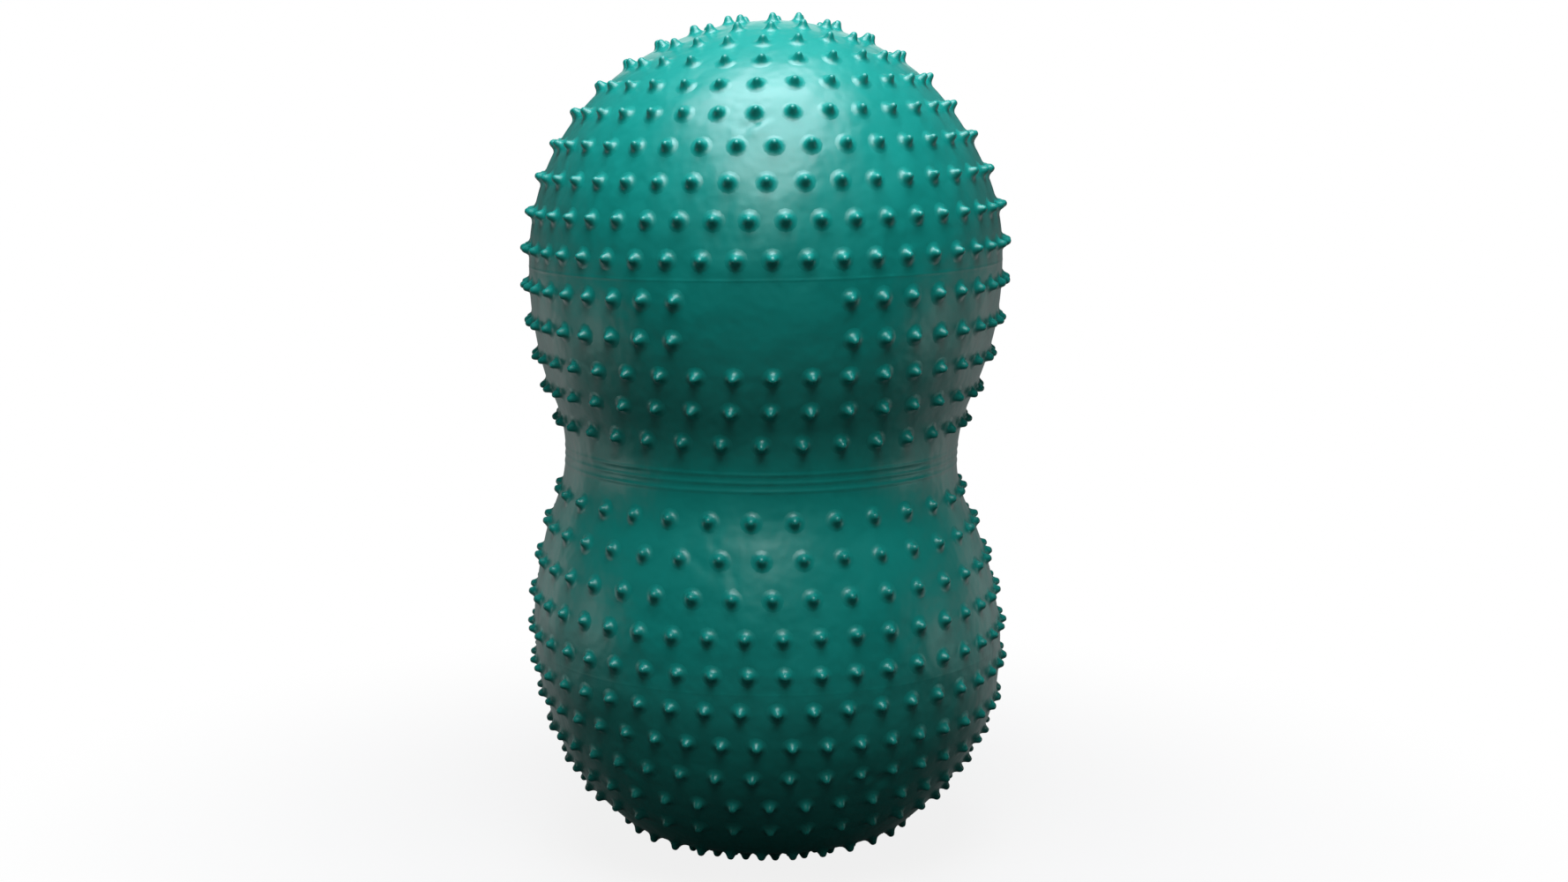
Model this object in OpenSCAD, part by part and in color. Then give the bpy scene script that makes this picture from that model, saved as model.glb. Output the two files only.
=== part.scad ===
// Peanut exercise ball: an inflated, moulded vinyl ball of two round lobes with rows of massage
// nubs, standing on one end. The sealed ball is one solid, as nothing shows its inside.
// Millimetres, +Z up, with the resting face at Z = 0 and the bare panel towards -Y.

/* [Ball] */
// Diameter of each lobe over the skin, without nubs
lobe_d = 600; // [500:5:750]
// Diameter of the skin at the waist
waist_d = 500; // [400:5:540]
// Distance between the centres of the two lobes
lobe_spacing = 487; // [440:1:600]
// How far the ball's weight presses the skin at the lower end flat
rest_flat = 1; // [0.5:0.1:3]

/* [Nubs] */
// Height of a nub above the skin
nub_h = 12; // [7:0.5:16]
// Diameter of a nub's flared foot
nub_foot_d = 24; // [18:0.5:28]
// Diameter where the flared foot passes into the cone
nub_neck_d = 10.4; // [7:0.2:14]
// Height of the flared foot
nub_neck_h = 3.6; // [2:0.2:5]
// Diameter of the blunt tip
nub_tip_d = 4.4; // [2:0.2:6]
// Plain skin round a pole, measured from the pole to the first row's band
pole_clear = 26; // [15:1:45]
// Width of the plain band round the waist
waist_band = 55; // [45:1:80]

/* [Bare panel] */
// Angle of the front of the upper lobe that stays without nubs
panel_angle = 32; // [16:1:60]
// Rows below the upper lobe's equator that this panel interrupts
panel_rows = 2; // [0:1:3]

/* [Ridges and seams] */
// Number of fine ridges round the waist
ridge_count = 3; // [1:1:4]
// Distance between neighbouring ridges
ridge_pitch = 10; // [8:0.5:12]
// Width of a ridge at its foot
ridge_w = 6; // [3:0.5:7]
// Height of a ridge
ridge_h = 1.6; // [0.6:0.2:3]
// Width of the mould's seam line round each lobe's equator
seam_w = 4; // [2:0.5:6]
// Height of that seam line
seam_h = 0.6; // [0.3:0.1:1.5]

/* [Valve] */
// Diameter of the shallow seat moulded round the valve hole
seat_d = 22; // [20:1:30]
// Depth of the seat
seat_depth = 1.8; // [1.6:0.1:3]
// Diameter of the valve hole
hole_d = 9; // [6:0.5:11]
// Depth of the valve hole's sleeve
hole_depth = 22; // [18:1:30]
// Diameter of the plug's flange
flange_d = 17; // [14:0.5:19]
// Thickness of the flange
flange_t = 1.4; // [1:0.1:2.5]
// Length of the plug's stem below the flange
stem_l = 15; // [10:1:17]
// Play between the plug and the ball, all round
plug_gap = 0.3; // [0.2:0.05:0.5]

/* [Hidden] */
$fn = 96;

// Nubs in each row, counted in the photo, from the equator to the pole or to the waist.
upper_pole_rows = [46, 45, 41, 39, 35, 30, 25, 20, 14, 7];
upper_waist_rows = [46, 44, 40, 37, 34];
lower_waist_rows = [44, 42, 38, 35, 32];
lower_pole_rows = [44, 44, 40, 38, 34, 30, 25, 20, 14, 7];
// Degrees from the front to the nub nearest to it in those rows, read from the photo.
upper_pole_turns = [1, -4, 0, 2, -3, -3, -2, -2, 3, 9];
upper_waist_turns = [3, 3.5, 2, 2, 0];
lower_waist_turns = [4, 4, 2, 0, -2.5];
lower_pole_turns = [2, -3, -4, 0.5, 1, -2, 4, -3, 5, 12];

front = -90; // the photo's side in plan, in degrees from +X
radian = 180/PI;
nub_sink = 3; // how far a flared foot runs on into the skin
nub_twist = 90; // turns a nub on its own axis, so that its seam lies off the lobe's meridians
foot_margin = 1.8; // smooth skin beside a foot
end_sink = 0.6; // how deep the waist's outline ends inside a lobe
pressed_rows = 2; // rows at the lower end that the floor can reach

lobe_r = lobe_d/2;
waist_r = waist_d/2;
half_spacing = lobe_spacing/2;
// The waist is an arc of radius fillet_r that runs into both lobes at a tangent.
fillet_r = (half_spacing*half_spacing + waist_r*waist_r - lobe_r*lobe_r)/(2*(lobe_r - waist_r));
tangent = atan2(half_spacing, waist_r + fillet_r);
// Lengths along the skin: equator to tangent, tangent to waist, equator to pole.
lobe_arc = lobe_r*tangent/radian;
waist_arc = fillet_r*tangent/radian;
pole_arc = lobe_r*PI/2;
pole_pitch = (pole_arc - pole_clear)/len(upper_pole_rows);
waist_pitch = (lobe_arc + waist_arc - waist_band/2)/len(upper_waist_rows);
ground = half_spacing + lobe_r - rest_flat; // from the waist down to the resting face
crown = half_spacing + lobe_r; // from the waist up to the pole
seat_z = crown - seat_depth;

// Radius, height above the waist and slope of the upper lobe's skin at length s from its
// equator, positive towards the pole. The waist's part is given at t from the waist instead.
function lobe_place(s) =
  [lobe_r*cos(s/lobe_r*radian), half_spacing + lobe_r*sin(s/lobe_r*radian), s/lobe_r*radian];
function waist_place(t, lift = 0) =
  let (b = t/fillet_r*radian)
  [waist_r + fillet_r - (fillet_r - lift)*cos(b), (fillet_r - lift)*sin(b), -b];
function skin_place(s) = s > -lobe_arc ? lobe_place(s) : waist_place(lobe_arc + waist_arc + s);

// One nub along +Z, its foot meeting the skin at Z = 0.
module nub() {
  sunk_r = nub_foot_d/2 + nub_sink*(nub_foot_d - nub_neck_d)/(2*nub_neck_h);
  rotate([0, 0, nub_twist]) rotate_extrude($fn = 24)
    polygon([[0, -nub_sink], [sunk_r, -nub_sink], [nub_neck_d/2, nub_neck_h],
             [nub_tip_d/2, nub_h], [0, nub_h]]);
}

// A row of nubs at length s from an equator; side is 1 on the upper lobe, -1 on the lower.
// Each nub stands square to the skin, on a line from the ball's own axis. Nubs within bare
// degrees of the front are left out.
module nub_row(s, count, turn, side, bare = 0) {
  place = skin_place(s);
  slope = place[2];
  for (i = [0:count - 1]) {
    angle = turn + 360*i/count;
    if (abs((angle + 180)%360 - 180) > bare)
      translate([0, 0, side*(place[1] - place[0]*tan(slope))])
        rotate([0, 90 - side*slope, front + angle])
          translate([0, 0, place[0]/cos(slope)]) nub();
  }
}

module upper_nubs() {
  for (k = [0:len(upper_pole_rows) - 1])
    nub_row((k + 0.5)*pole_pitch, upper_pole_rows[k], upper_pole_turns[k], 1);
  for (k = [0:len(upper_waist_rows) - 1])
    nub_row(-(k + 0.5)*waist_pitch, upper_waist_rows[k], upper_waist_turns[k], 1,
            k < panel_rows ? panel_angle/2 : 0);
}

module lower_nubs() {
  free_rows = len(lower_pole_rows) - pressed_rows;
  for (k = [0:free_rows - 1])
    nub_row((k + 0.5)*pole_pitch, lower_pole_rows[k], lower_pole_turns[k], -1);
  for (k = [0:len(lower_waist_rows) - 1])
    nub_row(-(k + 0.5)*waist_pitch, lower_waist_rows[k], lower_waist_turns[k], -1);
  for (k = [free_rows:len(lower_pole_rows) - 1])
    difference() {
      nub_row((k + 0.5)*pole_pitch, lower_pole_rows[k], lower_pole_turns[k], -1);
      translate([0, 0, -ground - 2*nub_h]) cylinder(r = waist_r, h = 2*nub_h);
    }
}

// A ridge or seam line in outline, from its foot at t1 up to lift and down again at t2.
function ridge_points(t1, t2, lift) =
  [for (p = [[t1, 0], [t1 + (t2 - t1)*0.3, lift], [t2 - (t2 - t1)*0.3, lift], [t2, 0]])
     let (q = waist_place(p[0], p[1])) [q[0], q[1]]];

// The waist's outline with its ridges. Its corners lie beside the rows of feet, so that each
// foot stands on one smooth band, and its ends lie just inside the lobes.
module waist_outline() {
  ridge_half = (ridge_count - 1)/2*ridge_pitch + ridge_w/2;
  foot = nub_foot_d/2 + foot_margin;
  rows = [for (k = [0:len(upper_waist_rows) - 1]) waist_band/2 + (k + 0.5)*waist_pitch];
  corners = [for (t = rows, edge = [t - foot, t + foot])
               if (edge > ridge_half && edge < waist_arc - foot_margin) waist_place(edge)];
  end = [(lobe_r - end_sink)*cos(tangent), half_spacing - (lobe_r - end_sink)*sin(tangent)];
  upper = concat([for (p = corners) [p[0], p[1]]], [end]);
  lower = [for (i = [len(upper) - 1:-1:0]) [upper[i][0], -upper[i][1]]];
  ridges = [for (i = [0:ridge_count - 1])
              let (t = i*ridge_pitch - ridge_half) each ridge_points(t, t + ridge_w, ridge_h)];
  polygon(concat([[0, -end[1]]], lower, ridges, upper, [[0, end[1]]]));
}

module seam_outline() {
  polygon([[0, -seam_w/2], [lobe_r - seam_h, -seam_w/2], [lobe_r + seam_h, -seam_w/5],
           [lobe_r + seam_h, seam_w/5], [lobe_r - seam_h, seam_w/2], [0, seam_w/2]]);
}

module body() {
  difference() {
    rotate_extrude() {
      intersection() {
        for (side = [-1, 1]) translate([0, side*half_spacing]) circle(lobe_r);
        translate([0, -ground]) square([lobe_r, ground + crown]);
      }
      for (side = [-1, 1]) translate([0, side*half_spacing]) seam_outline();
      waist_outline();
    }
    translate([0, 0, seat_z]) cylinder(d = seat_d, h = 2*seat_depth);
    translate([0, 0, seat_z - hole_depth]) cylinder(d = hole_d, h = hole_depth + seat_depth);
  }
}

module ball_skin() {
  color("teal") translate([0, 0, ground]) {
    body();
    upper_nubs();
    lower_nubs();
  }
}

// The plug's flange lies in the seat with its stem in the valve hole.
module valve_plug() {
  stem_r = hole_d/2 - plug_gap;
  color("white") translate([0, 0, ground + seat_z + plug_gap]) rotate_extrude()
    polygon([[0, -stem_l], [stem_r*0.7, -stem_l], [stem_r, -stem_l + stem_r], [stem_r, 0],
             [flange_d/2, 0], [flange_d/2, flange_t*0.6], [flange_d/2 - flange_t*0.4, flange_t],
             [0, flange_t]]);
}

ball_skin();
valve_plug();
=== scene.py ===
"""Dresses the peanut exercise ball: a soft vinyl skin with rows of massage nubs, and its plug.

Lengths are in metres. The frame is the CAD model's: +Z up, the resting face at Z = 0, the bare
panel towards -Y. Places on the skin are given as (angle, s): the angle in radians from the front,
positive to the right, and the length s along the skin from the waist, positive upwards.
"""

import logging
import math
from dataclasses import dataclass
from enum import Enum

import bpy
import numpy as np
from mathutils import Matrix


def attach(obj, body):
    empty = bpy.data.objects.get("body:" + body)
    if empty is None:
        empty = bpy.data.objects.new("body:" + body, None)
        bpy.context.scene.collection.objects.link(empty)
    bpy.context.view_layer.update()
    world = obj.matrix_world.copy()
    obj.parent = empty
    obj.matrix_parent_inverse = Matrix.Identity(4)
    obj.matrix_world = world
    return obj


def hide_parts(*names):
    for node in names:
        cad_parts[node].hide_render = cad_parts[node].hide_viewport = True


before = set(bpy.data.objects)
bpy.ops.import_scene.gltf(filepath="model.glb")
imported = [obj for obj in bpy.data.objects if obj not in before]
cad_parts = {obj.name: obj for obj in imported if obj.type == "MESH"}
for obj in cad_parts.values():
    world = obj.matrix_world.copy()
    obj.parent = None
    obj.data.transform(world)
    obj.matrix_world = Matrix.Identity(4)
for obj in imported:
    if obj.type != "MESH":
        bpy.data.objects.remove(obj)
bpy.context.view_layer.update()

log = logging.getLogger("ball")

PHOTO_W = 1778  # the photograph's width in pixels
AXIS_X_PX = 868.6  # where the ball's own axis stands in the photograph
FOCAL_PX = 2387.0  # the camera's focal length in the photograph's pixels
SENSOR_W = 36.0

TURN = 2 * math.pi
WHITE = (1.0, 1.0, 1.0, 1.0)
BLACK = (0.0, 0.0, 0.0, 1.0)

Array = np.ndarray
Colour = tuple[float, float, float, float]


class Side(Enum):
    """The two lobes, by the sign of their height above the waist."""

    UPPER = 1
    LOWER = -1


# Form


@dataclass(frozen=True)
class Form:
    """The standing ball's outline: two lobes with fuller flanks and a hollow waist.

    The lower lobe is round as far as press_angle below its equator. There its weight presses it
    in: a rounded edge, and from end_angle on a shallow dome, which stands on nubs.
    """

    lobe_r: float = 0.304
    waist_r: float = 0.2533
    half_spacing: float = 0.2442
    flank_r: float = 0.4337
    press_angle: float = math.radians(49.4)
    press_edge_r: float = 0.0568
    end_angle: float = math.radians(69.4)
    nub_h: float = 0.0096  # of the nubs that it stands on
    foot: float = 0.0140  # a foot's radius with the smooth skin beside it
    pole_clear: float = 0.0253
    waist_band: float = 0.0476
    pole_rows: int = 10
    waist_rows: int = 5

    @property
    def tangent(self) -> float:
        """Angle at which the flank's arc passes into the waist's hollow arc."""
        return 2 * math.atan2(self.lobe_r - self.waist_r, self.half_spacing)

    @property
    def fillet_r(self) -> float:
        """Radius of the waist's hollow arc."""
        return self.half_spacing / math.sin(self.tangent) - self.flank_r

    @property
    def waist_arc(self) -> float:
        """Length of skin from the waist to the end of its hollow arc."""
        return self.fillet_r * self.tangent

    @property
    def equator(self) -> float:
        """Length of skin from the waist to a lobe's equator."""
        return self.waist_arc + self.flank_r * self.tangent

    @property
    def pole(self) -> float:
        """Length of skin from the waist to the upper pole."""
        return self.equator + self.lobe_r * math.pi / 2

    @property
    def edge(self) -> float:
        """Length of skin from the waist to where the pressed end's rounded edge begins."""
        return self.equator + self.lobe_r * self.press_angle

    @property
    def dome(self) -> float:
        """Length of skin from the waist to the pressed end's shallow dome."""
        return self.edge + self.press_edge_r * (self.end_angle - self.press_angle)

    @property
    def press_r(self) -> float:
        """Distance of the rounded edge's centre from the ball's own axis."""
        return (self.lobe_r - self.press_edge_r) * math.cos(self.press_angle)

    @property
    def dome_r(self) -> float:
        """Radius of the shallow dome, which the rounded edge runs into at a tangent."""
        return self.press_edge_r + self.press_r / math.cos(self.end_angle)

    @property
    def dome_z(self) -> float:
        """Depth of the dome's centre below the waist."""
        return self.press_z - (self.dome_r - self.press_edge_r) * math.sin(self.end_angle)

    @property
    def end(self) -> float:
        """Length of skin from the waist to the middle of the dome."""
        return self.dome + self.dome_r * (math.pi / 2 - self.end_angle)

    @property
    def press_z(self) -> float:
        """Depth of the rounded edge's centre below the waist."""
        return self.half_spacing + (self.lobe_r - self.press_edge_r) * math.sin(self.press_angle)

    @property
    def ground(self) -> float:
        """Height of the waist above the floor: the dome's middle stands one nub above it."""
        return self.dome_z + self.dome_r + self.nub_h

    def rows_to_pole(self, count: int) -> Array:
        """Places rows of nubs from an equator towards the pole, in even steps.

        Args:
            count: how many of the rows that reach the pole are wanted.

        Returns:
            Lengths along the skin from the waist.
        """
        step = (self.lobe_r * math.pi / 2 - self.pole_clear) / self.pole_rows
        return self.equator + (np.arange(count) + 0.5) * step

    def rows_to_waist(self) -> Array:
        """Places rows of nubs from an equator towards the waist, in even steps."""
        step = (self.equator - self.waist_band / 2) / self.waist_rows
        return self.equator - (np.arange(self.waist_rows) + 0.5) * step

    def rows_pressed(self, count: int) -> Array:
        """Places one row on the pressed end's edge and the others in rings to its middle.

        Args:
            count: how many rows there are, with the single nub in the middle.

        Returns:
            Lengths along the skin from the waist.
        """
        start = self.edge + self.press_edge_r * (math.pi / 2 - self.press_angle) + self.foot
        rings = start + np.arange(count - 1) * (self.end - start) / (count - 2)
        return np.concatenate([[self.edge + self.foot], rings])

    def outline(self, s: Array) -> tuple[Array, Array, Array, Array]:
        """Works out the outline as arcs that follow each other at tangents.

        On each arc the angle is the length along it over its radius. A point is the arc's centre
        plus its radius times that angle's cosine and sine. The waist's arc bends the other way,
        about a centre outside the ball.

        Args:
            s: lengths along the skin from the waist.

        Returns:
            Radius, height above the waist, the angle that the skin's normal rises by, and how
            strongly the skin curves along its outline.
        """
        t = np.abs(s)
        below = s < 0
        hollow = t < self.waist_arc
        flank = ~hollow & (t < self.equator)
        rounded = below & (t >= self.edge) & (t < self.dome)
        domed = below & (t >= self.dome)
        b = np.minimum(t, self.waist_arc) / self.fillet_r
        f = (np.minimum(t, self.equator) - self.equator) / self.flank_r
        a = np.maximum(t - self.equator, 0) / self.lobe_r
        e = self.press_angle + np.maximum(t - self.edge, 0) / self.press_edge_r
        d = self.end_angle + np.maximum(t - self.dome, 0) / self.dome_r
        kinds = [hollow, flank, rounded, domed]
        radius = np.select(
            kinds,
            [
                self.waist_r + self.fillet_r * (1 - np.cos(b)),
                self.lobe_r - self.flank_r * (1 - np.cos(f)),
                self.press_r + self.press_edge_r * np.cos(e),
                self.dome_r * np.cos(d),
            ],
            self.lobe_r * np.cos(a),
        )
        height = np.select(
            kinds,
            [
                self.fillet_r * np.sin(b),
                self.half_spacing + self.flank_r * np.sin(f),
                self.press_z + self.press_edge_r * np.sin(e),
                self.dome_z + self.dome_r * np.sin(d),
            ],
            self.half_spacing + self.lobe_r * np.sin(a),
        )
        rise = np.select(kinds, [-b, f, e, d], a)
        curve = np.select(
            kinds,
            [-1 / self.fillet_r, 1 / self.flank_r, 1 / self.press_edge_r, 1 / self.dome_r],
            1 / self.lobe_r,
        )
        sign = np.where(below, -1.0, 1.0)
        return np.maximum(radius, 0.0), height * sign, rise * sign, curve


@dataclass(frozen=True)
class Crease:
    """A soft fold in the skin, from one place to another, bowed to one side."""

    angle: float  # degrees from the front
    s: float
    angle_to: float
    s_to: float
    depth: float
    width: float
    bow: float


CREASES = (
    Crease(-9.0, 0.434, 3.0, 0.456, 0.0016, 0.0065, 0.004),
    Crease(-7.0, 0.442, -6.0, 0.415, 0.0013, 0.0060, -0.003),
    Crease(-10.0, 0.300, -9.0, 0.345, 0.0007, 0.0060, 0.002),
    Crease(-21.0, -0.072, -9.0, -0.118, 0.0008, 0.0065, 0.003),
    Crease(-12.5, -0.055, -11.0, -0.085, 0.0008, 0.0055, 0.002),
    Crease(-7.5, -0.085, -6.0, -0.140, 0.0008, 0.0060, 0.002),
    Crease(22.0, -0.410, 36.0, -0.350, 0.0016, 0.0075, 0.004),
    Crease(18.0, -0.365, 34.0, -0.385, 0.0013, 0.0070, -0.004),
    Crease(-30.0, -0.400, -44.0, -0.350, 0.0010, 0.0075, 0.004),
)


@dataclass(frozen=True)
class Wave:
    """One slow wave over the skin, a sine of its angle and length along the skin."""

    around: int  # waves round the ball
    along: float  # radians for each metre along the skin
    phase: float
    share: float


@dataclass(frozen=True)
class Relief:
    """What lies on the skin besides its nubs: ridges, seam lines, folds and a slight unevenness."""

    form: Form
    ridge_pitch: float = 0.010
    ridge_w: float = 0.0046
    ridge_h: float = 0.0006
    ridge_count: int = 3
    seam_w: float = 0.0030
    seam_h: float = 0.00025
    lower_seam: float = 0.4  # the lower seam line's height as a share of the upper one's
    seat_r: float = 0.011
    seat_depth: float = 0.0018
    seat_soft: float = 0.0005  # how softly the skin runs down into the seat
    swell: float = 0.0007
    calm: float = 0.12  # length of skin over which the unevenness dies out towards an end
    waves: tuple[Wave, ...] = (
        Wave(3, 9.0, 0.7, 1.0),
        Wave(5, -17.0, 2.1, 0.8),
        Wave(9, 26.0, 0.0, 0.5),
        Wave(14, -41.0, 1.3, 0.4),
    )
    creases: tuple[Crease, ...] = CREASES
    crease_reach: float = 4.0  # how many widths from its line a crease dies out
    lip_place: float = 1.9  # the lip's distance from that line, in widths
    lip_share: float = 0.7  # the lip's height as a share of the crease's depth
    far_lip: float = 0.4  # the same lip on the other side, as a share of the first
    widest: float = 1.3  # the largest radius that counts, over the ball's at the crease

    def ridges(self, s: Array) -> Array:
        """Adds up rounded ridges, each a bell curve over the length along the skin.

        Args:
            s: lengths along the skin.

        Returns:
            Heights above the plain outline.
        """
        middle = (self.ridge_count - 1) / 2
        places = (np.arange(self.ridge_count) - middle) * self.ridge_pitch
        bells = np.exp(-(((s[..., None] - places) / (self.ridge_w / 2)) ** 2))
        return self.ridge_h * bells.sum(-1)

    def seams(self, s: Array) -> Array:
        """A low bell curve along each lobe's equator, lower on the lower lobe.

        Args:
            s: lengths along the skin.

        Returns:
            Heights above the plain outline.
        """
        off = np.abs(s) - self.form.equator
        share = np.where(s < 0, self.lower_seam, 1.0)
        return share * self.seam_h * np.exp(-((off / (self.seam_w / 2)) ** 2))

    def unevenness(self, angle: Array, s: Array) -> Array:
        """Sums a few slow waves round and along the ball, as a filled skin is never quite even.

        Args:
            angle: angles from the front.
            s: lengths along the skin.

        Returns:
            Heights above the plain outline.
        """
        waves = sum(
            wave.share * np.sin(wave.around * angle + wave.along * s + wave.phase)
            for wave in self.waves
        )
        inward = np.minimum(self.form.pole - s, self.form.edge + s)
        calm = np.clip(inward / self.calm, 0, 1)
        return self.swell * waves * calm

    def folds(self, angle: Array, s: Array) -> Array:
        """Sums the creases: a shallow valley across each line with a low lip beside it.

        On the skin laid flat, off is a point's distance from the crease's bowed line, in widths.
        The valley is a bell curve over that distance, and the lip a lower one beside it. Both
        fade towards the crease's ends and far from its line.

        Args:
            angle: angles from the front.
            s: lengths along the skin.

        Returns:
            Heights above the plain outline.
        """
        total = np.zeros(np.broadcast(angle, s).shape)
        radius = self.form.outline(s)[0]
        for c in self.creases:
            a0, a1 = math.radians(c.angle), math.radians(c.angle_to)
            mean_r = float(self.form.outline(np.array([(c.s + c.s_to) / 2]))[0][0])
            x = (angle - a0) * np.minimum(radius, mean_r * self.widest)
            y = s - c.s
            dx, dy = (a1 - a0) * mean_r, c.s_to - c.s
            length = math.hypot(dx, dy)
            along = (x * dx + y * dy) / length**2
            inside = np.clip(along, 0, 1)
            side = (x * dy - y * dx) / length - c.bow * np.sin(np.pi * inside)
            off = np.hypot(side, (along - inside) * length) / c.width
            fade = np.sin(np.pi * inside) * np.exp(-((off / self.crease_reach) ** 2))
            valley = -c.depth * np.exp(-(off**2))
            lip = self.lip_share * c.depth * np.exp(-((off - self.lip_place) ** 2))
            total += fade * (valley + np.where(side > 0, lip, self.far_lip * lip))
        return total

    def height(self, angle: Array, s: Array) -> Array:
        """Adds up everything that lifts or sinks the skin.

        The valve seat is the seat's depth times a soft step, 1 inside its radius, 0 outside.

        Args:
            angle: angles from the front.
            s: lengths along the skin.

        Returns:
            Heights above the plain outline, below 0 where the skin sinks.
        """
        off_seat = self.form.pole - s - self.seat_r
        seat = 1 / (1 + np.exp(off_seat / self.seat_soft))
        return (
            self.ridges(s)
            + self.seams(s)
            + self.unevenness(angle, s)
            + self.folds(angle, s)
            - self.seat_depth * seat
        )


@dataclass(frozen=True)
class Level:
    """How one level of the standing ball lies off its plain place."""

    height: float  # above the waist
    shift: float  # to the right
    lift: float  # up
    slope: float  # rise for each metre to the right
    tuck: float = 0.0  # how far the right side lies inwards


@dataclass(frozen=True)
class Lean:
    """How the soft ball leans, sags and shifts a little as it stands."""

    axis_clear: float = 0.001  # nearer to the ball's axis than this, no side is the right one
    tuck_power: int = 4  # how closely the tuck keeps to the right side
    levels: tuple[Level, ...] = (
        Level(-0.44, 0.001, 0.0, 0.0),
        Level(-0.38, 0.002, 0.0, -0.004),
        Level(-0.33, 0.0045, 0.0, -0.016),
        Level(-0.25, 0.002, -0.001, 0.004),
        Level(-0.18, -0.001, -0.003, 0.005),
        Level(-0.05, -0.006, -0.001, 0.001),
        Level(0.06, -0.005, 0.0, -0.004),
        Level(0.17, -0.001, -0.0035, 0.007, 0.002),
        Level(0.27, 0.002, 0.0, 0.015, 0.005),
        Level(0.43, 0.0, 0.0, 0.021, 0.007),
        Level(0.55, 0.001, -0.0030, 0.034, 0.004),
    )

    def apply(self, points: Array) -> Array:
        """Shifts, lifts and tips each level by values that pass smoothly from one to the next.

        The share t of the way between two levels is smoothed to 3 t squared less 2 t cubed.

        Args:
            points: points with their height measured from the waist.

        Returns:
            The moved points.
        """
        z = points[..., 2]
        heights = np.array([level.height for level in self.levels])
        moves = np.array([(v.shift, v.lift, v.slope, v.tuck) for v in self.levels])
        k = np.clip(np.searchsorted(heights, z) - 1, 0, len(heights) - 2)
        t = np.clip((z - heights[k]) / (heights[k + 1] - heights[k]), 0, 1)[..., None]
        t = t * t * (3 - 2 * t)
        blend = moves[k] * (1 - t) + moves[k + 1] * t
        shift, lift, slope, tuck = np.moveaxis(blend, -1, 0)
        x, y = points[..., 0], points[..., 1]
        rightness = np.clip(x / np.maximum(np.hypot(x, y), self.axis_clear), 0, 1)
        out = points.copy()
        out[..., 0] += shift - tuck * rightness**self.tuck_power
        out[..., 2] += lift + slope * x
        return out


@dataclass(frozen=True)
class Skin:
    """The skin as a surface: outline, relief and lean together."""

    form: Form
    relief: Relief
    lean: Lean

    def settle(self, points: Array) -> Array:
        """Leans points, raises them onto the floor and presses flat what would sink into it.

        Args:
            points: points with their height measured from the waist.

        Returns:
            The points as they stand.
        """
        out = self.lean.apply(points)
        out[..., 2] = np.maximum(out[..., 2] + self.form.ground, 0.0)
        return out

    def frame_at(self, angle: Array, s: Array) -> tuple[Array, Array, Array, Array]:
        """Turns the plain outline about the ball's axis.

        Args:
            angle: angles from the front.
            s: lengths along the skin.

        Returns:
            Points, normals, and tangents round and up the ball.
        """
        radius, height, rise, _ = self.form.outline(s)
        sin_a, cos_a = np.sin(angle), -np.cos(angle)
        point = np.stack([radius * sin_a, radius * cos_a, height], -1)
        normal = np.stack([np.cos(rise) * sin_a, np.cos(rise) * cos_a, np.sin(rise)], -1)
        round_ = np.stack([-cos_a, sin_a, np.zeros_like(angle)], -1)
        up = np.stack([-np.sin(rise) * sin_a, -np.sin(rise) * cos_a, np.cos(rise)], -1)
        return point, normal, round_, up

    def points(self, angle: Array, s: Array) -> Array:
        """Works out the skin's points: the outline moved along its normal by the relief.

        Args:
            angle: angles from the front.
            s: lengths along the skin.

        Returns:
            The points as they stand.
        """
        point, normal, _, _ = self.frame_at(angle, s)
        return self.settle(point + normal * self.relief.height(angle, s)[..., None])


# Meshes


def put_mesh(name: str, points: Array, quads: Array, tris: Array) -> bpy.types.Object:
    """Puts worked-out points and faces into a new smooth mesh object at the origin.

    Args:
        name: the piece's name.
        points: N by 3 points.
        quads: M by 4 point numbers.
        tris: K by 3 point numbers.

    Returns:
        The new object, linked to the scene.
    """
    mesh = bpy.data.meshes.new(name)
    mesh.from_pydata(points.tolist(), [], quads.tolist() + tris.tolist())
    mesh.polygons.foreach_set("use_smooth", np.ones(len(mesh.polygons), dtype=bool))
    mesh.update()
    piece = bpy.data.objects.new(name, mesh)
    bpy.context.scene.collection.objects.link(piece)
    return piece


def ring_quads(rings: int, steps: int) -> Array:
    """Numbers the quads between closed rings of points, ring after ring.

    Args:
        rings: how many rings there are.
        steps: how many points a ring has.

    Returns:
        The quads' point numbers, turning from a ring to the next one.
    """
    i, j = np.meshgrid(np.arange(rings - 1), np.arange(steps), indexing="ij")
    a, b = i * steps + j, i * steps + (j + 1) % steps
    return np.stack([a, b, b + steps, a + steps], -1).reshape(-1, 4)


def full_turn(steps: int) -> Array:
    """Spaces angles evenly over one turn."""
    return np.arange(steps) * TURN / steps


def fan(first: int, steps: int, tip: int, outward: bool) -> Array:
    """Numbers the triangles that close a ring onto one point.

    Args:
        first: the ring's first point number.
        steps: how many points the ring has.
        tip: the closing point's number.
        outward: whether the triangles turn the same way as the ring's points.

    Returns:
        The triangles' point numbers.
    """
    j = np.arange(steps)
    a, b = first + j, first + (j + 1) % steps
    pair = (a, b) if outward else (b, a)
    return np.stack([*pair, np.full(steps, tip)], -1)


# Finishes


def grey(tone: float) -> Colour:
    """Gives a neutral colour of one tone."""
    return (tone, tone, tone, 1.0)


@dataclass(frozen=True)
class Noise:
    """How one noise texture is set."""

    scale: float  # patches for each metre
    detail: float  # how many finer layers it has
    rough: float = 0.5  # how strongly they show


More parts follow.
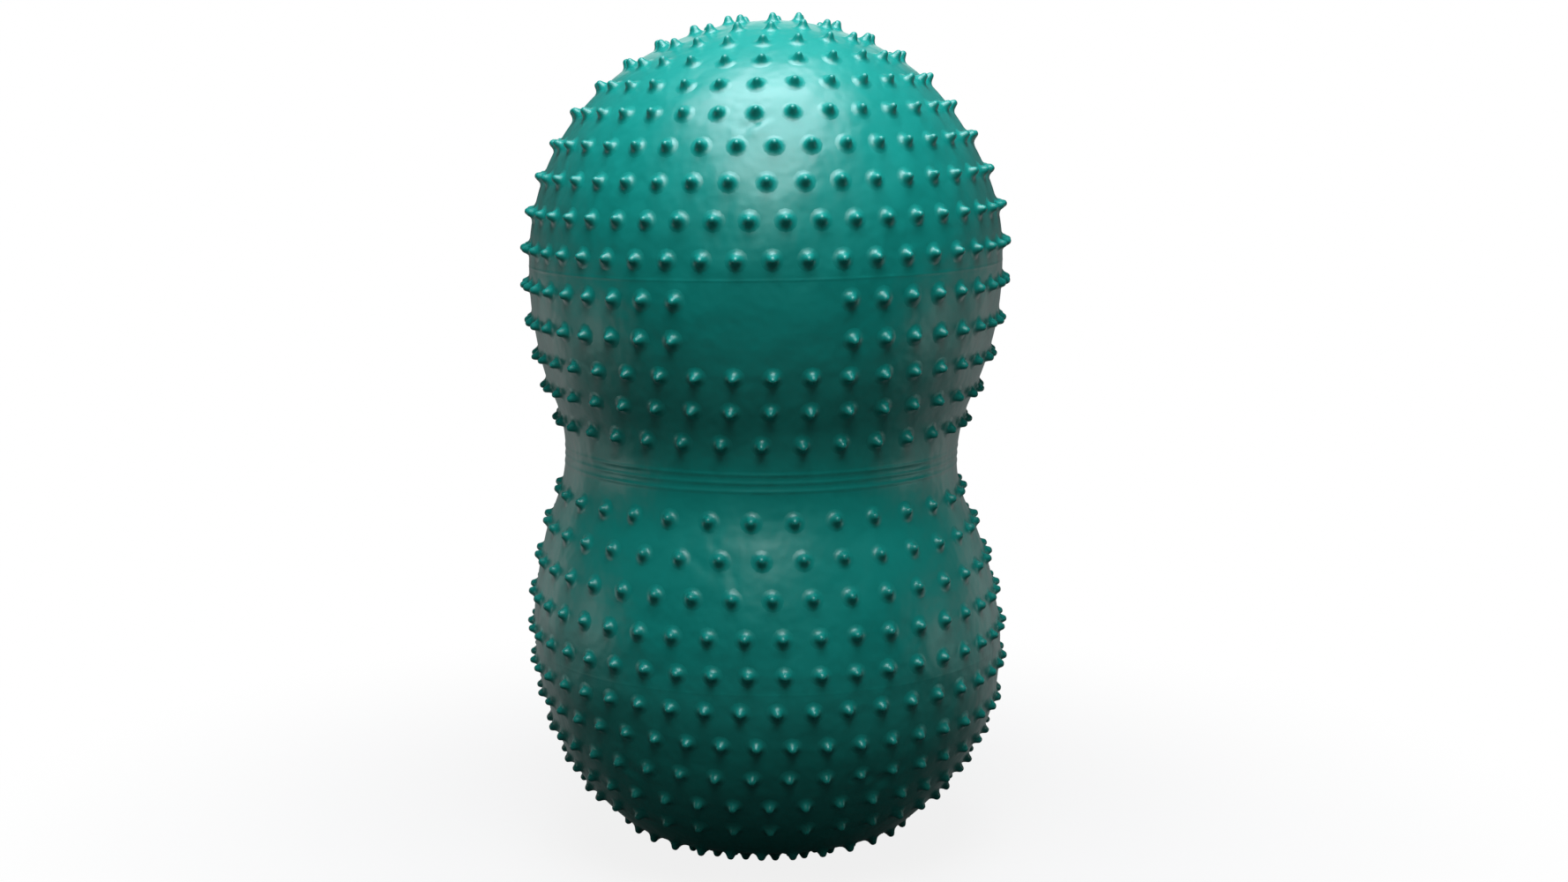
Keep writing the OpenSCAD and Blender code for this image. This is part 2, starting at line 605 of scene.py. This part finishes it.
class Value:
    """One socket of a shader, with arithmetic that adds Math nodes."""

    def __init__(self, graph: "Graph", socket: bpy.types.NodeSocket) -> None:
        """Keeps the graph and the socket."""
        self.graph = graph
        self.socket = socket

    def math(self, operation: str, *others: "Value | float") -> "Value":
        """Adds one Math node on this value and the others."""
        return self.graph.node("ShaderNodeMath", {"operation": operation}, (self, *others))

    def __add__(self, other: "Value | float") -> "Value":
        """Adds."""
        return self.math("ADD", other)

    __radd__ = __add__

    def __mul__(self, other: "Value | float") -> "Value":
        """Multiplies."""
        return self.math("MULTIPLY", other)

    __rmul__ = __mul__

    def __sub__(self, other: "Value | float") -> "Value":
        """Subtracts."""
        return self.math("SUBTRACT", other)

    def __rsub__(self, other: float) -> "Value":
        """Subtracts this value from a number."""
        return self.graph.node("ShaderNodeMath", {"operation": "SUBTRACT"}, (other, self))

    def clamp(self) -> "Value":
        """Keeps the value between 0 and 1, by a Math node that adds nothing.

        Returns:
            The clamped value.
        """
        kept = self.math("ADD", 0.0)
        kept.socket.node.use_clamp = True
        return kept


class Graph:
    """A material's or world's nodes."""

    def __init__(self, tree: bpy.types.NodeTree) -> None:
        """Empties the tree."""
        self.tree = tree
        tree.nodes.clear()

    def node(
        self,
        kind: str,
        settings: dict[str, object],
        inputs: dict[str | int, object] | tuple,
        output: str | int = 0,
    ) -> Value:
        """Adds one node.

        Args:
            kind: the node's type.
            settings: properties that are set first.
            inputs: values or links by socket name, or in order.
            output: the socket that is wanted.

        Returns:
            That socket.
        """
        node = self.tree.nodes.new(kind)
        for key, value in settings.items():
            setattr(node, key, value)
        pairs = inputs.items() if isinstance(inputs, dict) else enumerate(inputs)
        for key, value in pairs:
            if isinstance(value, Value):
                self.tree.links.new(value.socket, node.inputs[key])
            else:
                node.inputs[key].default_value = value
        return Value(self, node.outputs[output])

    def noise(self, where: Value, noise: Noise) -> Value:
        """Adds a noise value between 0 and 1.

        Args:
            where: the place on the object.
            noise: how the texture is set.

        Returns:
            The noise at that place.
        """
        sockets = {
            "Vector": where,
            "Scale": noise.scale,
            "Detail": noise.detail,
            "Roughness": noise.rough,
        }
        return self.node("ShaderNodeTexNoise", {}, sockets)

    def bump(
        self, height: Value, strength: float, distance: float, under: Value | None = None
    ) -> Value:
        """Adds a bump.

        Args:
            height: what stands out, between 0 and 1.
            strength: how much of the bump shows.
            distance: how far a height of 1 stands out, in metres.
            under: another bump that lies below this one.

        Returns:
            The bumped normal.
        """
        sockets = {"Height": height, "Strength": strength, "Distance": distance}
        if under is not None:
            sockets["Normal"] = under
        return self.node("ShaderNodeBump", {}, sockets)

    def smooth(self, value: Value, limits: tuple[float, float]) -> Value:
        """Rises smoothly from 0 at the first limit to 1 at the second.

        The share t of the way between the limits becomes 3 t squared less 2 t cubed.

        Args:
            value: what is measured.
            limits: where the rise begins and ends.

        Returns:
            The share, between 0 and 1.
        """
        return self.node(
            "ShaderNodeMapRange",
            {"interpolation_type": "SMOOTHSTEP"},
            {"Value": value, "From Min": limits[0], "From Max": limits[1]},
        )

    def place(self) -> Value:
        """Gives the place on the object in its own metres."""
        return self.node("ShaderNodeTexCoord", {}, {}, "Object")

    def depth(self, where: Value) -> Value:
        """Gives how far back a place or direction lies."""
        return self.node("ShaderNodeSeparateXYZ", {}, (where,), "Y")

    def ray(self, kind: str) -> Value:
        """Gives 1 for rays of one kind, such as Is Camera Ray, and 0 for all others."""
        return self.node("ShaderNodeLightPath", {}, {}, kind)

    def mix(self, share: Value, first: object, second: object) -> Value:
        """Mixes two colours.

        Args:
            share: how much of the second one shows.
            first: a colour, or a link to one.
            second: the other colour.

        Returns:
            The mixed colour.
        """
        sockets = {0: share, 6: first, 7: second}
        return self.node("ShaderNodeMix", {"data_type": "RGBA"}, sockets, 2)

    def finish(self, shader: Value, kind: str = "ShaderNodeOutputMaterial") -> None:
        """Links the finished shader to a new output node."""
        node = self.tree.nodes.new(kind)
        self.tree.links.new(shader.socket, node.inputs["Surface"])


def new_graph(name: str) -> tuple[bpy.types.Material, Graph]:
    """Makes an empty node material.

    Args:
        name: the material's name.

    Returns:
        The material and its nodes.
    """
    material = bpy.data.materials.new(name)
    material.use_nodes = True
    return material, Graph(material.node_tree)


@dataclass(frozen=True)
class Vinyl:
    """The ball's soft vinyl: satin, slightly mottled, with a thin gloss on top."""

    deep: Colour = (0.002, 0.225, 0.186, 1.0)
    fresh: Colour = (0.004, 0.290, 0.242, 1.0)
    roughness: float = 0.36
    coat: float = 0.12
    coat_roughness: float = 0.25
    broad: Noise = Noise(5.0, 2.0)
    mottle: Noise = Noise(55.0, 3.0, 0.6)
    scuff: Noise = Noise(17.0, 5.0, 0.65)
    peel: Noise = Noise(620.0, 2.0)
    dents: Noise = Noise(24.0, 2.0)
    broad_colour: float = 0.9  # how strongly each mottling moves the colour
    mottle_colour: float = 0.5
    colour_offset: float = 0.2
    scuff_gloss: float = 0.10  # how far each mottling moves the roughness
    mottle_gloss: float = 0.05
    peel_strength: float = 0.25
    peel_height: float = 0.00012
    dents_strength: float = 0.9
    dents_height: float = 0.0034

    def build(self) -> bpy.types.Material:
        """Builds the material: broad and fine mottling in colour and gloss, and a fine skin.

        The colour's share is the sum of both mottlings, each times its weight, less an offset.
        The roughness is its mean value and the same kind of sum, less the sum's own mean.

        Returns:
            The material.
        """
        material, g = new_graph("vinyl")
        where = g.place()
        broad = g.noise(where, self.broad)
        mottle = g.noise(where, self.mottle)
        scuff = g.noise(where, self.scuff)
        share = broad * self.broad_colour + mottle * self.mottle_colour - self.colour_offset
        mean_gloss = self.roughness - (self.scuff_gloss + self.mottle_gloss) / 2
        gloss = scuff * self.scuff_gloss + mottle * self.mottle_gloss + mean_gloss
        peel = g.bump(g.noise(where, self.peel), self.peel_strength, self.peel_height)
        dents = g.noise(where, self.dents)
        sockets = {
            "Base Color": g.mix(share.clamp(), self.deep, self.fresh),
            "Roughness": gloss,
            "Normal": g.bump(dents, self.dents_strength, self.dents_height, peel),
            "Coat Weight": self.coat,
            "Coat Roughness": self.coat_roughness,
            "Specular IOR Level": 0.5,
            "IOR": 1.5,
        }
        g.finish(g.node("ShaderNodeBsdfPrincipled", {}, sockets))
        return material


@dataclass(frozen=True)
class PlugPlastic:
    """The plug's plain pale plastic."""

    colour: Colour = (0.72, 0.73, 0.70, 1.0)
    shade: Colour = (0.60, 0.61, 0.58, 1.0)
    grain: Noise = Noise(900.0, 3.0)
    tone: Noise = Noise(120.0, 2.0)
    roughness: float = 0.4
    grain_gloss: float = 0.1  # how far the grain moves the roughness
    grain_strength: float = 0.3
    grain_height: float = 0.0001

    def build(self) -> bpy.types.Material:
        """Builds the material: a faint mottling and a fine matt grain.

        Returns:
            The material.
        """
        material, g = new_graph("plug_plastic")
        where = g.place()
        grain = g.noise(where, self.grain)
        sockets = {
            "Base Color": g.mix(g.noise(where, self.tone), self.colour, self.shade),
            "Roughness": grain * self.grain_gloss + self.roughness,
            "Normal": g.bump(grain, self.grain_strength, self.grain_height),
        }
        g.finish(g.node("ShaderNodeBsdfPrincipled", {}, sockets))
        return material


# Sub-assemblies


@dataclass
class BallSkin:
    """The visible skin, a closed grid of rings from the dome's middle to the upper pole.

    A zone is half the length of skin on which fine rings take the place of the even ones.
    """

    skin: Skin
    front_steps: int = 188
    back_steps: int = 68
    front_half: float = math.radians(80)
    row_step: float = 0.0043
    end_clear: float = 0.0015  # from the last ring to the point that closes it
    ridge_step: float = 0.0009
    ridge_zone: float = 0.016
    seam_rings: int = 9
    seam_half: float = 0.0032
    seam_zone: float = 0.0036
    rim_rings: int = 7
    rim_half: float = 0.0020
    rim_zone: float = 0.0025

    def angles(self) -> Array:
        """Spaces the columns closely on the front, where the folds are, and wider behind.

        Returns:
            Angles from the front.
        """
        half = self.front_half
        front = np.linspace(-half, half, self.front_steps, endpoint=False)
        back = np.linspace(half, TURN - half, self.back_steps, endpoint=False)
        return np.concatenate([front, back])

    def levels(self) -> Array:
        """Spaces the rings evenly, with fine ones over the ridges, the seams and the seat's rim.

        Returns:
            Lengths along the skin, from the middle of the dome to the upper pole.
        """
        form = self.skin.form
        top = form.pole - self.end_clear
        bottom = form.end - self.end_clear
        rim = form.pole - self.skin.relief.seat_r
        coarse = np.arange(-bottom, top, self.row_step)
        over_ridges = np.arange(-self.ridge_zone, self.ridge_zone, self.ridge_step)
        over_seam = np.linspace(-self.seam_half, self.seam_half, self.seam_rings)
        over_rim = np.linspace(-self.rim_half, self.rim_half, self.rim_rings)
        zones = (
            (0.0, self.ridge_zone, over_ridges),
            (form.equator, self.seam_zone, over_seam),
            (-form.equator, self.seam_zone, over_seam),
            (rim, self.rim_zone, over_rim),
        )
        for middle, half, _ in zones:
            coarse = coarse[np.abs(coarse - middle) > half]
        fine = [middle + rings for middle, _, rings in zones]
        return np.sort(np.concatenate([coarse, *fine, [top]]))

    def build(self, material: bpy.types.Material) -> bpy.types.Object:
        """Builds the skin: a grid of angles and lengths put through the skin's formula.

        Args:
            material: the vinyl.

        Returns:
            The piece, closed at both ends.
        """
        angles, levels = self.angles(), self.levels()
        s, angle = np.meshgrid(levels, angles, indexing="ij")
        points = self.skin.points(angle, s).reshape(-1, 3)
        form = self.skin.form
        ends = self.skin.points(np.zeros(2), np.array([-form.end, form.pole]))
        count, steps = len(levels), len(angles)
        low = fan(0, steps, len(points), outward=False)
        high = fan((count - 1) * steps, steps, len(points) + 1, outward=True)
        piece = put_mesh(
            "ball_skin_soft",
            np.concatenate([points, ends]),
            ring_quads(count, steps),
            np.concatenate([low, high]),
        )
        piece.data.materials.append(material)
        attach(piece, "root")
        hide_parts("ball_skin")
        log.info("skin: %d rings of %d", count, steps)
        return piece


@dataclass
class NubField:
    """All the nubs of one lobe.

    A row is how many nubs it has, and the degrees from the front to the nub nearest to it. A
    ring of a nub's profile is its radius and its height above the skin.
    """

    skin: Skin
    side: Side
    to_pole: tuple[tuple[int, float], ...]
    to_waist: tuple[tuple[int, float], ...]
    pressed: tuple[tuple[int, float], ...] = ()
    bare_rows: int = 0
    bare_half: float = math.radians(16)
    steps: int = 12
    tallness: float = 1.0
    size_spread: float = 0.03
    tilt_spread: float = 0.03
    least_r: float = 0.02  # nearer to the ball's axis, the skin is curved as it is here
    rings: tuple[tuple[float, float], ...] = (
        (0.0152, -0.0002),
        (0.0120, 0.0003),
        (0.0093, 0.0011),
        (0.0072, 0.0028),
        (0.0056, 0.0054),
        (0.0045, 0.0081),
        (0.0033, 0.0101),
        (0.0018, 0.0111),
    )
    tip: float = 0.0114
    seed: int = 7

    def places(self) -> tuple[Array, Array]:
        """Lists every nub, without those on the bare panel.

        Returns:
            The nubs' angles from the front and their lengths along the skin.
        """
        form = self.skin.form
        angles, lengths = [], []
        sets = (
            (self.to_pole, form.rows_to_pole(len(self.to_pole)), 0),
            (self.to_waist, form.rows_to_waist(), self.bare_rows),
            (self.pressed, form.rows_pressed(len(self.pressed)) if self.pressed else (), 0),
        )
        for rows, places, bare_rows in sets:
            for k, ((count, turn), s) in enumerate(zip(rows, places)):
                a = math.radians(turn) + full_turn(count)
                a = (a + math.pi) % TURN - math.pi
                if k < bare_rows:
                    a = a[np.abs(a) > self.bare_half]
                angles.append(a)
                lengths.append(np.full(len(a), self.side.value * s))
        return np.concatenate(angles), np.concatenate(lengths)

    def surface(self, angle: Array, s: Array) -> Array:
        """Works out rings about each nub's own normal, with the foot bent to the skin.

        A ring's point lies at its radius in the plane that touches the skin, sunk by the skin's
        own curve (half the radius squared over the radius of curvature), and raised by the
        nub's profile and the skin's relief.

        Args:
            angle: the nubs' angles from the front.
            s: their lengths along the skin.

        Returns:
            Points by nub, ring and step, with the tip as the last ring.
        """
        rng = np.random.default_rng(self.seed + self.side.value)
        size = self.tallness * (1 + self.size_spread * rng.standard_normal(len(angle)))
        tilt = self.tilt_spread * rng.standard_normal((len(angle), 2))
        each = (slice(None), None, None)  # spreads one value of each nub over its rings
        point, normal, around, up = (q[each] for q in self.skin.frame_at(angle, s))
        radius, _, rise, along_curve = (q[each] for q in self.skin.form.outline(s))
        radius = np.maximum(radius, self.least_r)
        across_curve = np.cos(rise) / radius
        profile = np.array(self.rings + ((0.0, self.tip),))
        turn = full_turn(self.steps)
        u = (profile[:, :1] * np.cos(turn))[None]
        v = (profile[:, :1] * np.sin(turn))[None]
        h = profile[None, :, 1:] * np.ones_like(u)
        lift = h * np.where(h > 0, size[each], 1.0)
        raised = np.maximum(lift, 0)
        du = u + tilt[:, 0][each] * raised
        dv = v + tilt[:, 1][each] * raised
        drop = (u**2 * across_curve + v**2 * along_curve) / 2
        relief = self.skin.relief.height(angle[each] + u / radius, s[each] + v)
        rise_by = lift - drop + relief
        points = (
            point
            + around * du[..., None]
            + up * dv[..., None]
            + normal * rise_by[..., None]
        )
        return self.skin.settle(points)

    def build(self, material: bpy.types.Material) -> bpy.types.Object:
        """Builds the nubs as one piece: rings of quads with a fan onto each tip.

        Args:
            material: the vinyl.

        Returns:
            The piece.
        """
        angle, s = self.places()
        points = self.surface(angle, s)
        rings, steps = len(self.rings), self.steps
        body = points[:, :rings].reshape(-1, 3)
        tips = points[:, rings, 0]
        start = (np.arange(len(angle)) * rings * steps)[:, None, None]
        quads = (ring_quads(rings, steps)[None] + start).reshape(-1, 4)
        cap = fan((rings - 1) * steps, steps, 0, outward=True)[None] + start
        cap[:, :, 2] = (len(body) + np.arange(len(angle)))[:, None]
        piece = put_mesh(
            f"nubs_{self.side.name.lower()}",
            np.concatenate([body, tips]),
            quads,
            cap.reshape(-1, 3),
        )
        piece.data.materials.append(material)
        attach(piece, "root")
        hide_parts("ball_skin")
        log.info("%s lobe: %d nubs", self.side.name.lower(), len(angle))
        return piece


@dataclass
class ValvePlug:
    """The plug that lies in the valve seat at the upper pole."""

    skin: Skin
    flange_r: float = 0.0085
    flange_t: float = 0.0014
    stem_r: float = 0.0042
    stem_l: float = 0.015
    gap: float = 0.0003
    steps: int = 48
    stem_tip: float = 0.7  # the radius of the stem's end as a share of the stem's
    edge: float = 0.0002  # how far the flange's edges are rounded
    dimple: float = 0.0003  # depth of the dimple, and size of the fillet below the flange
    shoulder: float = 0.0007  # width of the flange's softer upper edge
    side_share: float = 0.55  # where that edge begins, as a share of the flange's thickness
    bend_share: float = 0.82
    rim_share: float = 0.95  # the dimple's rim and floor as shares of the stem's radius
    floor_share: float = 0.85

    @property
    def profile(self) -> Array:
        """Outline of the plug, from the stem's end to the dimple in the flange.

        Returns:
            Rows of a radius and a height above the flange's lower side.
        """
        stem, flange, top = self.stem_r, self.flange_r, self.flange_t
        return np.array(
            [
                (stem * self.stem_tip, -self.stem_l),
                (stem, -self.stem_l + stem),
                (stem, -self.edge),
                (stem + self.dimple, 0.0),
                (flange - self.edge, 0.0),
                (flange, self.edge),
                (flange, top * self.side_share),
                (flange - self.edge, top * self.bend_share),
                (flange - self.shoulder, top),
                (stem * self.rim_share, top),
                (stem * self.floor_share, top - self.dimple),
            ]
        )

    def build(self, material: bpy.types.Material) -> bpy.types.Object:
        """Turns the outline about the ball's axis and closes both ends.

        Args:
            material: the plug's plastic.

        Returns:
            The piece.
        """
        form = self.skin.form
        seat = form.half_spacing + form.lobe_r - self.skin.relief.seat_depth + self.gap
        outline = self.profile + np.array([0.0, seat])
        turn = full_turn(self.steps)
        radius, height = outline[:, :1], outline[:, 1:]
        grid = [radius * np.cos(turn), radius * np.sin(turn), height + 0 * turn]
        rings = np.stack(grid, -1).reshape(-1, 3)
        ends = np.array([[0, 0, outline[0, 1]], [0, 0, outline[-1, 1]]])
        points = self.skin.settle(np.concatenate([rings, ends]))
        count = len(outline)
        low = fan(0, self.steps, len(rings), outward=False)
        high = fan((count - 1) * self.steps, self.steps, len(rings) + 1, outward=True)
        piece = put_mesh(
            "plug_moulded",
            points,
            ring_quads(count, self.steps),
            np.concatenate([low, high]),
        )
        piece.data.materials.append(material)
        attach(piece, "root")
        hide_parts("valve_plug")
        log.info("plug: %d rings", count)
        return piece


# Studio


class Tint(Enum):
    """The lamps' colours: the light from above is a little cooler."""

    COOL = (0.93, 0.98, 1.07)
    PLAIN = (1.0, 1.0, 0.97)


@dataclass(frozen=True)
class Lamp:
    """One soft rectangular lamp."""

    name: str
    place: tuple[float, float, float]
    target: tuple[float, float, float]  # the point that it faces
    size: tuple[float, float]
    power: float  # watts
    tint: Tint = Tint.PLAIN


@dataclass
class Studio:
    """Floor, lights, world and camera."""

    form: Form
    lamps: tuple[Lamp, ...] = (
        Lamp("top", (0.0, -0.12, 2.1), (0.0, -0.06, 1.0), (0.7, 0.5), 7.5, Tint.COOL),
        Lamp("over", (0.0, -0.5, 2.4), (0.0, -0.2, 0.6), (1.6, 1.0), 28.0, Tint.COOL),
        Lamp("high", (0.05, -1.2, 2.3), (0.0, -0.1, 0.6), (1.3, 0.8), 12.0, Tint.COOL),
        Lamp("front high", (0.1, -1.9, 2.7), (0.0, 0.0, 0.4), (1.2, 0.8), 13.0),
        Lamp("front", (0.0, -2.2, 1.9), (0.0, 0.0, 0.5), (0.8, 0.9), 4.5),
        Lamp("behind", (0.0, 2.2, 1.7), (0.0, 0.0, 0.5), (1.4, 1.0), 5.0),
        Lamp("left side", (-1.7, -0.2, 0.25), (0.0, 0.0, 0.2), (0.5, 0.4), 1.2),
        Lamp("right side", (1.7, -0.2, 0.25), (0.0, 0.0, 0.2), (0.5, 0.4), 1.0),
        Lamp("left back", (-1.3, 0.8, 0.35), (0.0, 0.0, 0.3), (0.5, 0.6), 0.5),
        Lamp("right back", (1.3, 0.8, 0.35), (0.0, 0.0, 0.3), (0.5, 0.6), 0.4),
    )
    camera_away: float = 2.6996
    camera_over_waist: float = 0.4489
    camera_down: float = math.radians(9.25)
    floor_size: float = 40.0
    far_paper: Colour = grey(0.11)
    near_paper: Colour = grey(0.05)  # under and round the ball
    seen_paper: Colour = grey(0.10)  # as the camera sees it
    near_limits: tuple[float, float] = (0.40, 1.2)  # where near paper passes into far paper
    floor_limits: tuple[float, float] = (-0.2, 0.4)  # where the floor's glow comes in
    sky_limits: tuple[float, float] = (0.0, 0.7)  # where the backdrop comes in
    shadow_depth: float = 0.14
    fill: float = 0.024
    backdrop: float = 0.09
    floor_glow: float = 0.3

    def paper(self) -> bpy.types.Material:
        """Builds the floor's paper: white to the camera, and dim in what it throws on the ball.

        To the camera it glows white, less the shadow's depth near the ball, and far from the ball
        it takes no light from the lamps. What the ball mirrors of it glows only behind the ball.

        Returns:
            The material.
        """
        material, g = new_graph("floor_paper")
        seen, mirrored = g.ray("Is Camera Ray"), g.ray("Is Glossy Ray")
        away = g.node("ShaderNodeVectorMath", {"operation": "LENGTH"}, (g.place(),), "Value")
        near = 1 - g.smooth(away, self.near_limits)
        behind = g.smooth(g.depth(g.place()), self.floor_limits)
        unseen_paper = g.mix(near, self.far_paper, self.near_paper)
        colour = g.mix(seen, unseen_paper, self.seen_paper)
        paper = g.node("ShaderNodeBsdfDiffuse", {}, {"Color": colour})
        black = g.node("ShaderNodeBsdfDiffuse", {}, {"Color": BLACK})
        share = (near + (1 - seen)).clamp()
        lit = g.node("ShaderNodeMixShader", {}, {0: share, 1: black, 2: paper})
        strength = seen * (1 - near * self.shadow_depth) + mirrored * behind * self.floor_glow
        glow = g.node("ShaderNodeEmission", {}, {"Color": WHITE, "Strength": strength})
        g.finish(g.node("ShaderNodeAddShader", {}, {0: lit, 1: glow}))
        return material

    def floor(self) -> None:
        """Lays the pale floor, white to the camera, with a soft contact shadow."""
        half = self.floor_size / 2
        mesh = bpy.data.meshes.new("floor")
        corners = [(-half, -half, 0), (half, -half, 0), (half, half, 0), (-half, half, 0)]
        mesh.from_pydata(corners, [], [(0, 1, 2, 3)])
        obj = bpy.data.objects.new("floor", mesh)
        bpy.context.scene.collection.objects.link(obj)
        obj.data.materials.append(self.paper())

    def hang(self, lamp: Lamp) -> None:
        """Hangs one lamp and turns it to the point that it faces.

        A lamp shines along its own -Z. It is tipped by the angle between straight down and its
        aim, and then turned about +Z to the aim's direction over the floor.

        Args:
            lamp: the lamp.
        """
        data = bpy.data.lights.new(lamp.name, "AREA")
        data.shape, data.size, data.size_y = "RECTANGLE", *lamp.size
        data.energy, data.color = lamp.power, lamp.tint.value
        piece = bpy.data.objects.new(lamp.name, data)
        bpy.context.scene.collection.objects.link(piece)
        piece.location = lamp.place
        piece.visible_camera = False
        aim = np.array(lamp.target) - np.array(lamp.place)
        over_floor = math.hypot(aim[0], aim[1])
        tip = math.atan2(over_floor, -aim[2])
        piece.rotation_euler = (tip, 0.0, math.atan2(aim[1], aim[0]) - math.pi / 2)

    def world(self) -> None:
        """Sets the surroundings: white to the camera, and a pale backdrop in reflections."""
        world = bpy.data.worlds.new("studio")
        bpy.context.scene.world = world
        world.use_nodes = True
        g = Graph(world.node_tree)
        seen, mirrored = g.ray("Is Camera Ray"), g.ray("Is Glossy Ray")
        towards = g.node("ShaderNodeTexCoord", {}, {}, "Generated")
        behind = g.smooth(g.depth(towards), self.sky_limits)
        strength = seen * (1 - self.fill) + mirrored * behind * self.backdrop + self.fill
        sockets = {"Color": WHITE, "Strength": strength}
        shader = g.node("ShaderNodeBackground", {}, sockets)
        g.finish(shader, "ShaderNodeOutputWorld")

    def camera(self) -> None:
        """Sets the camera as the outline and the rows of nubs in the photograph give it."""
        data = bpy.data.cameras.new("camera")
        data.sensor_width = SENSOR_W
        data.lens = FOCAL_PX / PHOTO_W * SENSOR_W
        data.shift_x = (PHOTO_W / 2 - AXIS_X_PX) / PHOTO_W
        camera = bpy.data.objects.new("camera", data)
        bpy.context.scene.collection.objects.link(camera)
        height = self.form.ground + self.camera_over_waist
        camera.location = (0.0, -self.camera_away, height)
        camera.rotation_euler = (math.pi / 2 - self.camera_down, 0.0, 0.0)
        bpy.context.scene.camera = camera

    def build(self) -> None:
        """Sets up the whole studio."""
        bpy.context.scene.view_settings.view_transform = "Standard"
        self.floor()
        for lamp in self.lamps:
            self.hang(lamp)
        self.world()
        self.camera()
        log.info("studio ready")


def main() -> None:
    """Builds the ball's pieces and the studio, in order."""
    logging.basicConfig(level=logging.INFO, format="%(name)s: %(message)s")
    form = Form()
    skin = Skin(form, Relief(form), Lean())
    vinyl = Vinyl().build()
    BallSkin(skin).build(vinyl)
    NubField(
        skin,
        Side.UPPER,
        to_pole=(
            (46, 1), (45, -4), (41, 0), (39, 2), (35, -3),
            (30, -3), (25, -2), (20, -2), (14, 3), (7, 9),
        ),
        to_waist=((46, 3), (44, 3.5), (40, 2), (37, 2), (34, 0)),
        bare_rows=2,
    ).build(vinyl)
    NubField(
        skin,
        Side.LOWER,
        to_pole=((44, 2), (44, -3), (40, -4), (38, 0.5), (34, 1)),
        to_waist=((44, 4), (42, 4), (38, 2), (35, 0), (32, -2.5)),
        pressed=((30, -2), (25, 4), (20, -3), (13, 5), (6, 12), (1, 0)),
        tallness=0.83,
    ).build(vinyl)
    ValvePlug(skin).build(PlugPlastic().build())
    Studio(form).build()


if __name__ == "__main__":
    main()
